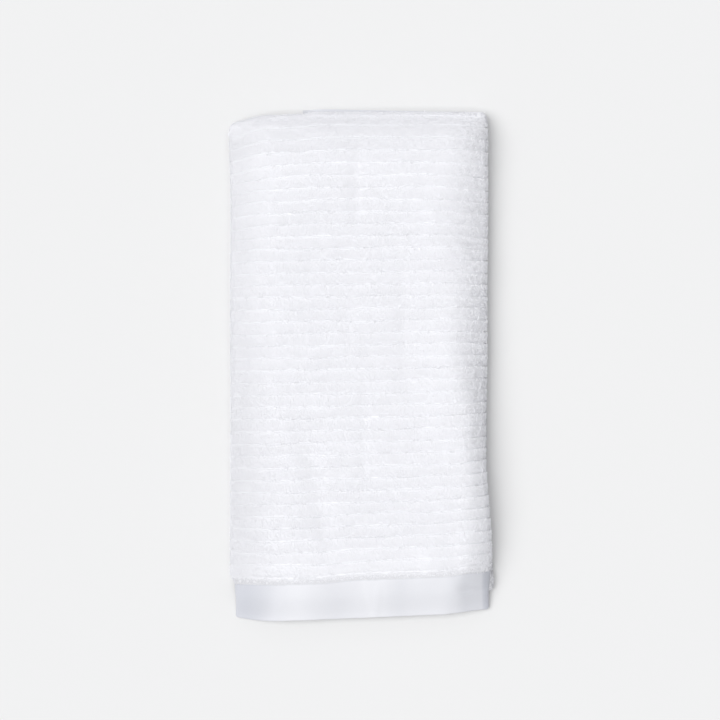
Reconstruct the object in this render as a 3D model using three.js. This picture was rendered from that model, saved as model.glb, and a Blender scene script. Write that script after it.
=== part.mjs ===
// A ribbed terry bath towel, folded and lying flat: in three across its width, then back and
// forth in three layers along its length, so nine plies in all.
// It is one woven cloth. The smooth border at each end and the hems are part of that cloth.
// Millimetres, +Z up. The origin is under the middle of the folded towel, on the surface it
// lies on. +X runs across the folded towel and +Y along it, towards its far fold.

import * as THREE from "three";

// The cloth as woven, laid out flat
const CLOTH_WIDTH = 700;
const CLOTH_LENGTH = 1500;
const TERRY_THICKNESS = 3.6;
const BORDER_THICKNESS = 1.6;
const BORDER_LENGTH = 36;
const PILE_END = 5; // the pile gives way to the border over this length
const PLIES_CLOSE = { from: 4, to: 38 }; // from the cloth's end, where its plies draw apart

// How close the plies lie, from the middle of one to the middle of the next
const TERRY_PITCH = 4.6;
const BORDER_PITCH = 2.2;
const LAYER_GAP = 2.4; // air between two layers of three plies
const TERRY_LAYER = 2 * TERRY_PITCH + TERRY_THICKNESS;
const LAYER_PITCH = TERRY_LAYER + LAYER_GAP;

// Where the folds lie, at the centre of each bend, before the cloth settles
const LEFT_FOLD_X = -127.4;
const RIGHT_FOLD_X = 122.9;
const FAR_FOLD_Y = 241.1; // between the top and the middle layer
const NEAR_FOLD_Y = -226; // between the middle and the bottom layer
const BOTTOM_END_Y = 253.7; // the bottom layer's end, just past the far fold

// The right flap is folded over the left one, and is the narrower of the two
const RIGHT_FLAP_EDGE_X = -59.5;
const FLAP_STEP_GAP = 2.5; // from the right flap's edge to where the left flap steps down
const FLAP_STEP_RUN = 16;
const RIGHT_FLAP_SHIFT = 3; // it slid towards the far end as it was folded
const RIGHT_FLAP_SKEW = 0.0245; // and lies askew, by this much of its width

// The top layer's near end reaches past the near fold and droops
const DROOP_LENGTH = 56;
const DROOP_ANGLE = 22;

const BEND_FACETS = { width: 6, length: 7 };
const LEAST_FACET = 2; // a station nearer than this to a run's end makes no facet
const TERRY_COLOUR = 0xeeeff4;
const TERRY_ROUGHNESS = 0.95;

// How the stack settles. Every ply bends at the same stations, so none crosses its neighbour.
// pressed is how far the stack is pressed down there, as a share of its height.
const acrossStations = [
  { x: -148, pressed: 0.8 },
  { x: -138, pressed: 0.64 },
  { x: -128, pressed: 0.46 },
  { x: -116, pressed: 0.275 },
  { x: -104, pressed: 0.13 },
  { x: -92, pressed: 0.06 },
  { x: -70, pressed: 0.02 },
  { x: -40, pressed: 0.004 },
  { x: 30, pressed: 0 },
  { x: 88, pressed: 0 },
  { x: 97, pressed: 0.025 },
  { x: 106, pressed: 0.092 },
  { x: 115, pressed: 0.2 },
  { x: 124, pressed: 0.36 },
  { x: 134, pressed: 0.57 },
];

// Edges: how far, outwards, the stack's edges stray from the straight fold. Slopes: the right
// side's slope is so much shorter and starts so far late, and the left side's starts early.
const alongStations = [
  { y: -262, pressed: 0.06, topLeft: 3.7, topRight: 8.5, lowerRight: 10, shorter: 1, late: 0, early: 8 },
  { y: -238, pressed: 0.06, topLeft: 1, topRight: 6.2, lowerRight: 10, shorter: 1, late: 4, early: 8 },
  { y: -214, pressed: 0.04, topLeft: 1.4, topRight: 7.2, lowerRight: 8.6, shorter: 1.1, late: 7, early: 8 },
  { y: -190, pressed: 0.02, topLeft: 1.2, topRight: 6.6, lowerRight: 6.4, shorter: 1.2, late: 10, early: 8 },
  { y: -150, pressed: 0, topLeft: 1, topRight: 3, lowerRight: 2.8, shorter: 1.15, late: 12, early: 8 },
  { y: -110, pressed: 0, topLeft: 0.8, topRight: -0.2, lowerRight: 1.6, shorter: 1.3, late: 6, early: 7 },
  { y: -60, pressed: 0, topLeft: 0.6, topRight: 0, lowerRight: 1.8, shorter: 1.5, late: 0, early: 5 },
  { y: 0, pressed: 0, topLeft: 0.6, topRight: 2.1, lowerRight: 1.7, shorter: 1.15, late: -0.5, early: 1.5 },
  { y: 60, pressed: 0, topLeft: 0.6, topRight: 2, lowerRight: 1.4, shorter: 1.05, late: -1.5, early: 0 },
  { y: 125, pressed: 0, topLeft: 0.4, topRight: 2.5, lowerRight: 1.6, shorter: 0.85, late: -1.5, early: 0 },
  { y: 195, pressed: 0, topLeft: 0, topRight: 2.5, lowerRight: 1.6, shorter: 0.85, late: 3, early: 1 },
  { y: 216, pressed: 0.015, topLeft: 0.4, topRight: 2.5, lowerRight: 1.8, shorter: 0.95, late: 6, early: 2 },
  { y: 232, pressed: 0.07, topLeft: 1.2, topRight: 2.5, lowerRight: 1.8, shorter: 1, late: 7, early: 2 },
  { y: 244, pressed: 0.25, topLeft: 1.6, topRight: 2.4, lowerRight: 1.8, shorter: 1, late: 8, early: 2 },
  { y: 258, pressed: 0.52, topLeft: 1.6, topRight: 2.2, lowerRight: 1.8, shorter: 1, late: 9, early: 2 },
];
const LEVEL_X = 30; // between the two sides' slopes, and as far left
const RIGHT_EDGE_X = 134;

// The top layer's near end was pulled round by this slope, and the near fold by the other
const TOP_TILT = 0.042;
const NEAR_FOLD_TILT = { slope: 0.04, from: -90 };
// The far left corner is drawn in, and so is the far fold beside it. The fold bulges out a
// little all along, and the cloth's hidden end beneath it does not.
const FAR_CORNER = { from: -57, to: -131, pull: 10.5, fadeTo: 70 };
const FAR_LEFT = { from: -45, to: -62, leftFrom: -100, leftTo: -80, pull: 2.2 };
const FAR_BULGE = { out: 1.8, fadeTo: 185, endIn: 0.8, endRun: 60 };
// The near end hangs down, and its corners further. Its left one is drawn in, its right one out.
const NEAR_END = { out: 3.2, outFadeTo: 36, drop: 10, dropFadeTo: 56, rimDrop: 5, rimFadeTo: 26 };
const NEAR_LEFT = { from: -86, to: -131, pull: 5.5, drop: 8, fadeTo: 46 };
const NEAR_RIGHT = { from: 94, to: 131, pull: -2.5, drop: 2, fadeTo: 36 };
// The smooth border's left edge is drawn in, just past where the pile ends
const BORDER_LEFT = { pull: 4.2, from: 46, to: 40.5 };
// Down its right side the top layer is drawn towards the middle, by this share
const RIGHT_SIDE = { share: 0.018, from: 85, to: 130, farFrom: 230, farTo: 170 };

const radians = THREE.MathUtils.degToRad;
const { clamp, lerp } = THREE.MathUtils;

/** Goes smoothly from 0 to 1 as the value goes from one bound to the other. */
function rise(from, to, value) {
  const t = clamp((value - from) / (to - from), 0, 1);
  return t * t * (3 - 2 * t);
}

// --- The two paths that the cloth follows: one across its width and one along its length ---
// Each row is a straight run, or an arc where it turns. Turns are in degrees, left positive.

const stepTurn = 2 * Math.atan2(TERRY_PITCH, FLAP_STEP_RUN);
const stepRun = (stepTurn * FLAP_STEP_RUN) / (2 * Math.sin(stepTurn));
const stepDegrees = THREE.MathUtils.radToDeg(stepTurn);
const stepStartX = RIGHT_FLAP_EDGE_X - FLAP_STEP_GAP;
const foldRun = Math.PI * TERRY_PITCH;
const layerFoldRun = (Math.PI * LAYER_PITCH) / 2;

const acrossRows = [
  { name: "left flap, over the right one", run: 0, turn: 0 },
  { name: "step down past its edge", run: stepRun, turn: stepDegrees, facets: 2 },
  { name: "step level again", run: stepRun, turn: -stepDegrees, facets: 2 },
  { name: "left flap", run: stepStartX - FLAP_STEP_RUN - LEFT_FOLD_X, turn: 0 },
  { name: "left fold", run: foldRun, turn: -180, facets: BEND_FACETS.width },
  { name: "middle panel", run: RIGHT_FOLD_X - LEFT_FOLD_X, turn: 0 },
  { name: "right fold", run: foldRun, turn: -180, facets: BEND_FACETS.width },
  { name: "right flap", run: RIGHT_FOLD_X - RIGHT_FLAP_EDGE_X, turn: 0 },
];

const alongRows = [
  { name: "overhang", run: DROOP_LENGTH, turn: -DROOP_ANGLE, facets: 5 },
  { name: "top layer", run: 0, turn: 0 },
  { name: "far fold", run: layerFoldRun, turn: -180, facets: BEND_FACETS.length },
  { name: "middle layer", run: FAR_FOLD_Y - NEAR_FOLD_Y, turn: 0 },
  { name: "near fold", run: layerFoldRun, turn: 180, facets: BEND_FACETS.length },
  { name: "bottom layer", run: BOTTOM_END_Y - NEAR_FOLD_Y, turn: 0 },
];

const totalRun = (rows) => rows.reduce((sum, row) => sum + row.run, 0);

// One row of each path takes what the cloth's size leaves
const leftFlapRun = CLOTH_WIDTH - totalRun(acrossRows);
acrossRows[0].run = leftFlapRun;
const topLayerRun = CLOTH_LENGTH - totalRun(alongRows);
alongRows[1].run = topLayerRun;

const droopRadius = DROOP_LENGTH / radians(DROOP_ANGLE);
const topMiddleZ = 2 * LAYER_PITCH + TERRY_LAYER / 2;

const acrossPath = {
  rows: acrossRows,
  start: { a: stepStartX + leftFlapRun, b: 0, heading: Math.PI },
  stations: acrossStations.map((station) => station.x),
};
const alongPath = {
  rows: alongRows,
  start: {
    a: FAR_FOLD_Y - topLayerRun - droopRadius * Math.sin(radians(DROOP_ANGLE)),
    b: topMiddleZ - droopRadius * (1 - Math.cos(radians(DROOP_ANGLE))),
    heading: radians(DROOP_ANGLE),
  },
  stations: alongStations.map((station) => station.y),
};

const rightFoldEnd = CLOTH_WIDTH - acrossRows[acrossRows.length - 1].run;
const farFoldStart = DROOP_LENGTH + topLayerRun;
const farFoldEnd = farFoldStart + layerFoldRun;

/** Moves a place along a line, or along an arc where it bends. */
function advance({ a, b, heading }, run, bend) {
  const chord = bend === 0 ? run : (2 * run * Math.sin(bend / 2)) / bend;
  return {
    a: a + chord * Math.cos(heading + bend / 2),
    b: b + chord * Math.sin(heading + bend / 2),
    heading: heading + bend,
  };
}

/** The place on a path at a distance from its start. It runs straight on past either end. */
function placeOn(path, distance) {
  let place = path.start;
  let left = distance;
  if (left > 0) {
    for (const row of path.rows) {
      const run = Math.min(left, row.run);
      place = advance(place, run, (radians(row.turn) * run) / row.run);
      left -= run;
      if (left === 0) break;
    }
  }
  place = advance(place, left, 0);
  return { ...place, normalA: -Math.sin(place.heading), normalB: Math.cos(place.heading) };
}

/** Distances along a path where facets meet: a straight run is cut at the path's stations. */
function marksOn(path) {
  const marks = [0];
  let place = path.start;
  let start = 0;
  for (const row of path.rows) {
    const next = advance(place, row.run, radians(row.turn));
    const cuts = row.turn
      ? Array.from({ length: row.facets - 1 }, (_, i) => (row.run * (i + 1)) / row.facets)
      : path.stations
          .map((station) => (station - place.a) * Math.sign(next.a - place.a))
          .filter((cut) => cut > LEAST_FACET && cut < row.run - LEAST_FACET)
          .sort((first, second) => first - second);
    marks.push(...cuts.map((cut) => start + cut), start + row.run);
    start += row.run;
    place = next;
  }
  return marks;
}

// --- Settling ---

/** A column of a table of stations, read in a straight line between rows. */
function readColumn(stations, key, at, column) {
  const next = stations.findIndex((station) => station[key] > at);
  if (next === 0) return stations[0][column];
  if (next < 0) return stations[stations.length - 1][column];
  const before = stations[next - 1];
  const share = (at - before[key]) / (stations[next][key] - before[key]);
  return lerp(before[column], stations[next][column], share);
}

/** How far a place lies into a corner, from 0 to a little past 1 at the edge. */
function intoCorner({ from, to, fadeTo }, x, alongCloth) {
  return clamp((x - from) / (to - from), 0, 1.1) * rise(fadeTo, 0, alongCloth);
}

/** The share of the stack's height that is pressed away at a settled place. */
function pressedAt(x, y) {
  const along = (column) => readColumn(alongStations, "y", y, column);
  const onRight = RIGHT_EDGE_X - (RIGHT_EDGE_X - x) * along("shorter") - along("late");
  const onLeft = x - along("early") * rise(-LEVEL_X, LEFT_FOLD_X, x);
  const onSlope = x > LEVEL_X ? Math.max(onRight, LEVEL_X) : onLeft;
  const acrossShare = readColumn(acrossStations, "x", onSlope, "pressed");
  return 1 - (1 - acrossShare) * (1 - along("pressed"));
}

/** Moves a point of the evenly folded cloth to where it settles. */
function settle(point, alongCloth) {
  const { x, y, z } = point;
  const along = (column) => readColumn(alongStations, "y", y, column);
  const ofTop = 1 - rise(farFoldStart, farFoldEnd, alongCloth);

  const rightOut = lerp(along("lowerRight"), along("topRight"), ofTop);
  const borderIn = BORDER_LEFT.pull * rise(BORDER_LEFT.from, BORDER_LEFT.to, alongCloth);
  point.x += rightOut * clamp(x / RIGHT_FOLD_X, 0, 1);
  point.x -= (ofTop * along("topLeft") - borderIn) * clamp(x / LEFT_FOLD_X, 0, 1);

  point.y += TOP_TILT * x * clamp(1 - alongCloth / farFoldStart, 0, 1);
  const nearFold = (1 - ofTop) * rise(NEAR_FOLD_TILT.from, NEAR_FOLD_Y, y);
  point.y += NEAR_FOLD_TILT.slope * (RIGHT_FOLD_X - x) * nearFold;

  const far = clamp((x - FAR_CORNER.from) / (FAR_CORNER.to - FAR_CORNER.from), 0, 1);
  const leftwards = rise(FAR_LEFT.from, FAR_LEFT.to, x);
  const besideIt = leftwards * rise(FAR_LEFT.leftFrom, FAR_LEFT.leftTo, x);
  const drawnIn = FAR_CORNER.pull * far * far + FAR_LEFT.pull * besideIt;
  point.y -= drawnIn * rise(FAR_CORNER.fadeTo, FAR_FOLD_Y, y);
  point.y += FAR_BULGE.out * rise(FAR_BULGE.fadeTo, FAR_FOLD_Y, y);
  point.y -= FAR_BULGE.endIn * rise(CLOTH_LENGTH - FAR_BULGE.endRun, CLOTH_LENGTH, alongCloth);

  const left = intoCorner(NEAR_LEFT, point.x, alongCloth);
  const right = intoCorner(NEAR_RIGHT, point.x, alongCloth);
  point.y += NEAR_LEFT.pull * left * left + NEAR_RIGHT.pull * right;
  point.y -= NEAR_END.out * rise(NEAR_END.outFadeTo, 0, alongCloth);
  const rimDrop = NEAR_END.rimDrop * rise(NEAR_END.rimFadeTo, 0, alongCloth);
  const drop = NEAR_END.drop * rise(NEAR_END.dropFadeTo, 0, alongCloth) + rimDrop;
  const dropped = z - drop - NEAR_LEFT.drop * left - NEAR_RIGHT.drop * right * right;

  const { share, from, to, farFrom, farTo } = RIGHT_SIDE;
  point.y -= share * point.y * rise(from, to, point.x) * rise(farFrom, farTo, point.y) * ofTop;
  point.z = dropped * (1 - pressedAt(point.x, point.y));
}

// --- The cloth as one closed solid ---

/** Thickness, and the pitch of the plies, a distance from the nearer end of the cloth. */
function clothAt(fromEnd) {
  const terryShare = rise(BORDER_LENGTH - PILE_END, BORDER_LENGTH, fromEnd);
  return {
    thickness: lerp(BORDER_THICKNESS, TERRY_THICKNESS, terryShare),
    pitch: lerp(BORDER_PITCH, TERRY_PITCH, rise(PLIES_CLOSE.from, PLIES_CLOSE.to, fromEnd)),
  };
}

/** A point on one face of the cloth: side 1 is the face that shows, and side -1 its back. */
function clothPoint(acrossCloth, alongCloth, side) {
  const fromEnd = Math.min(alongCloth, CLOTH_LENGTH - alongCloth);
  const { thickness, pitch } = clothAt(fromEnd);
  const offset = (side * thickness) / 2;
  const closeness = pitch / TERRY_PITCH;

  const panel = placeOn(acrossPath, acrossCloth);
  const level = clamp(panel.a, LEFT_FOLD_X, RIGHT_FOLD_X);
  const x = level + (panel.a - level) * closeness + offset * panel.normalA;
  const height = panel.b * closeness + offset * panel.normalB;

  // Sliding shows only at the cloth's ends: between them it leaves the same surface
  const slid = RIGHT_FLAP_SHIFT * rise(rightFoldEnd - foldRun, rightFoldEnd, acrossCloth);
  const askew = RIGHT_FLAP_SKEW * Math.max(acrossCloth - rightFoldEnd, 0);
  const atAnEnd = 1 - rise(BORDER_LENGTH, DROOP_LENGTH, fromEnd);
  const layer = placeOn(alongPath, alongCloth + (slid + askew) * atAnEnd);

  const point = new THREE.Vector3(
    x,
    layer.a + layer.normalA * height,
    layer.b + layer.normalB * height,
  );
  const inBottomLayer = alongCloth > CLOTH_LENGTH / 2;
  if (inBottomLayer) point.z -= TERRY_LAYER / 2 - pitch - thickness / 2;
  settle(point, alongCloth);
  return point;
}

/** Marks along the cloth, with an edge on each side of where the pile ends. */
function alongMarks() {
  const edges = [BORDER_LENGTH - PILE_END, BORDER_LENGTH];
  return marksOn(alongPath)
    .filter((mark) => Math.abs(Math.min(mark, CLOTH_LENGTH - mark) - BORDER_LENGTH) > PILE_END)
    .concat(edges, edges.map((edge) => CLOTH_LENGTH - edge))
    .sort((first, second) => first - second);
}

/** Joins the grid of face points and their backs into one closed, outward-facing surface. */
function clothGeometry() {
  const across = marksOn(acrossPath);
  const along = alongMarks();
  const positions = [];
  for (const side of [1, -1]) {
    for (const alongCloth of along) {
      for (const acrossCloth of across) {
        positions.push(...clothPoint(acrossCloth, alongCloth, side).toArray());
      }
    }
  }

  const triangles = [];
  const quad = (a, b, c, d) => triangles.push(a, b, c, a, c, d);
  const face = (i, j) => j * across.length + i;
  const back = (i, j) => face(i, j + along.length);
  const lastI = across.length - 1;
  const lastJ = along.length - 1;
  for (let j = 0; j < lastJ; j += 1) {
    for (let i = 0; i < lastI; i += 1) {
      quad(face(i, j), face(i + 1, j), face(i + 1, j + 1), face(i, j + 1));
      quad(back(i, j), back(i, j + 1), back(i + 1, j + 1), back(i + 1, j));
    }
    quad(face(0, j), face(0, j + 1), back(0, j + 1), back(0, j));
    quad(face(lastI, j), back(lastI, j), back(lastI, j + 1), face(lastI, j + 1));
  }
  for (let i = 0; i < lastI; i += 1) {
    quad(face(i, 0), back(i, 0), back(i + 1, 0), face(i + 1, 0));
    quad(face(i, lastJ), face(i + 1, lastJ), back(i + 1, lastJ), back(i, lastJ));
  }

  const geometry = new THREE.BufferGeometry();
  geometry.setAttribute("position", new THREE.Float32BufferAttribute(positions, 3));
  geometry.setIndex(triangles);
  geometry.computeBoundingBox();
  const middle = geometry.boundingBox.getCenter(new THREE.Vector3());
  geometry.translate(-middle.x, -middle.y, -geometry.boundingBox.min.z);
  geometry.computeVertexNormals();
  return geometry;
}

const terry = new THREE.MeshStandardMaterial({
  color: TERRY_COLOUR,
  roughness: TERRY_ROUGHNESS,
  metalness: 0,
});
const cloth = new THREE.Mesh(clothGeometry(), terry);
cloth.name = "towel_cloth";

const towel = new THREE.Group();
towel.add(cloth);

export default towel;
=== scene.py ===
import bpy
import numpy as np
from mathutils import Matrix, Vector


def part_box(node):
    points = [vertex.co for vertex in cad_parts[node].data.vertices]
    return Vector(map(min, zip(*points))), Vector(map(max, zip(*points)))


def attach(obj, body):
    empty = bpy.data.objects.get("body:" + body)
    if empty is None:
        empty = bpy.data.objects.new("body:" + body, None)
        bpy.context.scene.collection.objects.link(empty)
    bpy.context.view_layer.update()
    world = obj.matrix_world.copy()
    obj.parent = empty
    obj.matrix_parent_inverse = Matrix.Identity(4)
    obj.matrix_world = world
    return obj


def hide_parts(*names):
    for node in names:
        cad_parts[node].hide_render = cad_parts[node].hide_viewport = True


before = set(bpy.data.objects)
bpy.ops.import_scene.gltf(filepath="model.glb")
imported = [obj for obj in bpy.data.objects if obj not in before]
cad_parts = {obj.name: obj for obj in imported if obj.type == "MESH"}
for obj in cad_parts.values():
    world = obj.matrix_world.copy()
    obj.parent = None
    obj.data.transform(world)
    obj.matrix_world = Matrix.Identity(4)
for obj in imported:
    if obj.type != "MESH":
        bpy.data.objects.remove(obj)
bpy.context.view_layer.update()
floor_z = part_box("towel_cloth")[0].z

# --- The cloth: how it is folded ---
# One piece of ribbed cotton terry, woven 70 by 150 cm. It is folded in three across its width,
# the left flap over the narrower right one, and then back and forth in three layers along its
# length. A place on it is u across from the left selvedge and v along from the near end.
CLOTH_WIDTH, CLOTH_LENGTH = 0.700, 1.500
TERRY_THICKNESS, BORDER_THICKNESS = 0.0036, 0.0016
BORDER_LENGTH, PILE_END = 0.036, 0.005

PLY_PITCH, BORDER_PLY_PITCH = 0.0046, 0.0022
TERRY_LAYER = 2 * PLY_PITCH + TERRY_THICKNESS
LAYER_GAP = 0.0024
LAYER_PITCH = TERRY_LAYER + LAYER_GAP

LEFT_FOLD_X, RIGHT_FOLD_X = -0.1274, 0.1229
FAR_FOLD_Y, NEAR_FOLD_Y, BOTTOM_END_Y = 0.2411, -0.2260, 0.2537
RIGHT_FLAP_EDGE_X = -0.0595
# Past that edge the left flap, which lies over it, steps down
STEP_GAP, STEP_RUN = 0.0025, 0.016
STEP_START_X = RIGHT_FLAP_EDGE_X - STEP_GAP
DROOP_LENGTH, DROOP_TURN = 0.056, np.radians(22)
# From the cloth's ends, where its plies draw apart
PLIES_CLOSE = (0.004, 0.038)
# How far the right flap slides along at its fold, and how much further for each metre past it
FLAP_SLIDE, FLAP_TURN = 0.003, 0.0245
# The middle of the folded towel, from where its folds are measured
MIDDLE_X, MIDDLE_Y = 0.00186, -0.00470


def even_rise(start, stop, value, most=1):
    """Goes evenly from 0 to 1 as the value goes from start to stop, and on up to the most."""
    return np.clip((value - start) / (stop - start), 0, most)


def rise(start, stop, value):
    """Goes smoothly from 0 to 1 as the value goes from start to stop."""
    share = even_rise(start, stop, value)
    return share * share * (3 - 2 * share)


def within(spans, value):
    """1 between two spans, each of which runs from where it is 0 to where it is 1."""
    first, last = spans
    return rise(*first, value) * rise(*last, value)


def advance(a, b, heading, run, turn):
    """Where a line ends that leaves a, b at a heading and turns evenly as it runs."""
    chord = run * np.sinc(turn / (2 * np.pi))
    middle = heading + turn / 2
    return a + chord * np.cos(middle), b + chord * np.sin(middle), heading + turn


def path_of(start, rows):
    """A path made of rows, each a run and how far it turns, with the place where each starts."""
    places = [start]
    for run, turn in rows:
        places.append(advance(*places[-1], run, turn))
    runs, turns = np.array(rows).T
    return {"starts": np.array(places[:-1]), "from": np.cumsum(runs) - runs, "bend": turns / runs}


def place_on(path, distance):
    """The places and headings on a path at some distances from its start."""
    row = np.clip(np.searchsorted(path["from"], distance, side="right") - 1, 0, None)
    run = distance - path["from"][row]
    return advance(*path["starts"][row].T, run, path["bend"][row] * run)


fold_run = np.pi * PLY_PITCH
layer_fold_run = np.pi * LAYER_PITCH / 2
step_turn = 2 * np.arctan2(PLY_PITCH, STEP_RUN)
step_run = step_turn * STEP_RUN / (2 * np.sin(step_turn))
left_flap_run = STEP_START_X - STEP_RUN - LEFT_FOLD_X
panel_run = RIGHT_FOLD_X - LEFT_FOLD_X
right_flap_run = RIGHT_FOLD_X - RIGHT_FLAP_EDGE_X
over_run = CLOTH_WIDTH - right_flap_run - panel_run - left_flap_run - 2 * (fold_run + step_run)
across_path = path_of(
    (STEP_START_X + over_run, 0, np.pi),
    [
        (over_run, 0),
        (step_run, step_turn),
        (step_run, -step_turn),
        (left_flap_run, 0),
        (fold_run, -np.pi),
        (panel_run, 0),
        (fold_run, -np.pi),
        (right_flap_run, 0),
    ],
)
left_fold_u, panel_u, right_fold_u, right_flap_u = across_path["from"][4:]

middle_run = FAR_FOLD_Y - NEAR_FOLD_Y
bottom_run = BOTTOM_END_Y - NEAR_FOLD_Y
top_run = CLOTH_LENGTH - DROOP_LENGTH - middle_run - bottom_run - 2 * layer_fold_run
droop_radius = DROOP_LENGTH / DROOP_TURN
along_path = path_of(
    (
        FAR_FOLD_Y - top_run - droop_radius * np.sin(DROOP_TURN),
        2 * LAYER_PITCH + TERRY_LAYER / 2 - droop_radius * (1 - np.cos(DROOP_TURN)),
        DROOP_TURN,
    ),
    [
        (DROOP_LENGTH, -DROOP_TURN),
        (top_run, 0),
        (layer_fold_run, -np.pi),
        (middle_run, 0),
        (layer_fold_run, np.pi),
        (bottom_run, 0),
    ],
)
far_fold_v, middle_v, near_fold_v, bottom_v = along_path["from"][2:]


def half_thickness(v):
    """Half of the cloth's thickness, the pile included."""
    terry = rise(BORDER_LENGTH - PILE_END, BORDER_LENGTH, np.minimum(v, CLOTH_LENGTH - v))
    return (BORDER_THICKNESS + (TERRY_THICKNESS - BORDER_THICKNESS) * terry) / 2


# --- The cloth: how it settles ---
# Its own weight presses the edges of the stack down, and it was laid down by hand, so its sides
# and ends stray a little, and soft troughs and ridges show where a hidden edge or fold lies.
pressed_x, pressed_across = np.array([
    # x, share of the height that is pressed away there
    (-0.148, 0.80),
    (-0.138, 0.64),
    (-0.128, 0.46),
    (-0.122, 0.365),
    (-0.116, 0.275),
    (-0.110, 0.195),
    (-0.104, 0.130),
    (-0.098, 0.085),
    (-0.086, 0.040),
    (-0.070, 0.020),
    (-0.040, 0.004),
    (0.030, 0.000),
    (0.088, 0.000),
    (0.094, 0.012),
    (0.100, 0.042),
    (0.106, 0.092),
    (0.112, 0.160),
    (0.118, 0.250),
    (0.124, 0.36),
    (0.134, 0.57),
]).T
(
    settled_y,
    pressed_along,
    top_left_out,
    top_right_out,
    lower_right_out,
    slope_shorter,
    slope_late,
    slope_early,
) = np.array([
    # y, share pressed away, how far out the top left, top right and lower right edges stray,
    # how much shorter the right edge's slope is, how far it starts late, and how far the left
    # edge's slope starts early
    (-0.262, 0.06, 0.0037, 0.0085, 0.0100, 1.0, 0.000, 0.008),
    (-0.238, 0.06, 0.0010, 0.0062, 0.0100, 1.0, 0.004, 0.008),
    (-0.214, 0.04, 0.0014, 0.0072, 0.0086, 1.05, 0.004, 0.008),
    (-0.190, 0.02, 0.0012, 0.0066, 0.0064, 1.2, 0.010, 0.008),
    (-0.150, 0.00, 0.0010, 0.0030, 0.0028, 1.15, 0.012, 0.008),
    (-0.110, 0.00, 0.0008, 0.0002, 0.0016, 1.3, 0.006, 0.007),
    (-0.060, 0.00, 0.0006, 0.0006, 0.0018, 1.5, 0.000, 0.005),
    (-0.015, 0.00, 0.0006, 0.0020, 0.0018, 1.3, -0.002, 0.002),
    (0.010, 0.00, 0.0006, 0.0022, 0.0016, 1.0, 0.001, 0.001),
    (0.050, 0.00, 0.0006, 0.0020, 0.0014, 1.1, -0.001, 0.000),
    (0.095, 0.00, 0.0006, 0.0022, 0.0016, 0.9, 0.002, 0.000),
    (0.130, 0.00, 0.0004, 0.0026, 0.0016, 0.85, 0.001, 0.000),
    (0.160, 0.00, 0.0002, 0.0028, 0.0016, 0.85, 0.002, 0.000),
    (0.195, 0.00, 0.0006, 0.0029, 0.0016, 0.85, 0.003, 0.001),
    (0.216, 0.015, 0.0014, 0.0025, 0.0018, 0.95, 0.006, 0.002),
    (0.232, 0.07, 0.0022, 0.0025, 0.0018, 1.0, 0.007, 0.002),
    (0.244, 0.25, 0.0026, 0.0024, 0.0018, 1.0, 0.008, 0.002),
    (0.258, 0.58, 0.0026, 0.0022, 0.0018, 1.0, 0.009, 0.002),
]).T
SOFT_REACH, SOFT_STEPS, PRESSED_REACH = 0.009, 5, 0.004
LEVEL_X, RIGHT_EDGE_X = 0.030, 0.134
# A span runs from where an effect starts to where it is whole. The top layer and the fold under
# the near end both lie a little askew.
TOP_TILT = 0.042
NEAR_FOLD_TILT, NEAR_FOLD_TILT_Y = 0.04, (-0.090, NEAR_FOLD_Y)
# The far end's left corner is drawn in, and so is a stretch beside it. The fold bulges out.
FAR_CORNER_IN, FAR_CORNER_X = 0.0105, (-0.057, -0.131)
FAR_LEFT_IN, FAR_LEFT_X = 0.0022, ((-0.045, -0.062), (-0.100, -0.080))
FAR_IN_Y = (0.070, FAR_FOLD_Y)
FAR_BULGE, FAR_BULGE_Y = 0.0018, (0.185, FAR_FOLD_Y)
BOTTOM_END_IN, BOTTOM_END_V = 0.0008, (CLOTH_LENGTH - 0.060, CLOTH_LENGTH)
# The near end reaches out and droops, and its rim and corners droop further
NEAR_END_OUT, NEAR_END_OUT_V = 0.0032, (0.036, 0)
NEAR_END_DROP, NEAR_END_DROP_V = 0.010, (0.056, 0)
RIM_DROP, RIM_DROP_V = 0.005, (0.026, 0)
CORNER_MOST = 1.1
NEAR_RIGHT_X, NEAR_RIGHT_V = (0.094, 0.131), (0.036, 0)
NEAR_RIGHT_OUT, NEAR_RIGHT_DROP = 0.0025, 0.002
NEAR_LEFT_X, NEAR_LEFT_V = (-0.086, -0.131), (0.046, 0)
NEAR_LEFT_IN, NEAR_LEFT_DROP = 0.0055, 0.008
# The smooth border's left edge is drawn in, just past where the pile ends
BORDER_LEFT_IN, BORDER_LEFT_V = 0.0042, (0.046, 0.0405)
# Down its right side the top layer is drawn towards its middle, by this share
RIGHT_SIDE_IN, RIGHT_SIDE_X, RIGHT_SIDE_Y = 0.018, (0.085, 0.130), (0.230, 0.170)
CREASES = [
    # x, y, half length, half width, turn in degrees from +Y, height: below 0 it is a trough
    (-0.005, 0.188, 0.042, 0.0075, 0, -0.0013),
    (0.003, -0.070, 0.055, 0.0065, 0, -0.0008),
    (-0.046, -0.122, 0.070, 0.0110, 12, -0.0022),
    (0.044, 0.050, 0.070, 0.0090, 0, -0.0011),
    (0.088, -0.016, 0.066, 0.0200, 0, 0.0028),
    (0.072, -0.196, 0.030, 0.0110, -8, 0.0013),
    (0.072, 0.140, 0.022, 0.0100, 0, 0.0009),
    (0.112, 0.126, 0.014, 0.0030, 82, -0.0014),
    (-0.110, -0.165, 0.060, 0.0120, 0, -0.0022),
    (-0.095, -0.243, 0.026, 0.0140, 0, -0.0022),
    (-0.051, -0.243, 0.026, 0.0180, 0, 0.0012),
    (0.022, -0.241, 0.026, 0.0160, 0, 0.0007),
    (0.094, -0.236, 0.024, 0.0110, 0, 0.0012),
    (0.116, -0.232, 0.016, 0.0030, 82, -0.0022),
    (0.016, -0.246, 0.022, 0.0035, -4, 0.0006),
    (0.097, -0.205, 0.014, 0.0060, 0, -0.0010),
]


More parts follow.
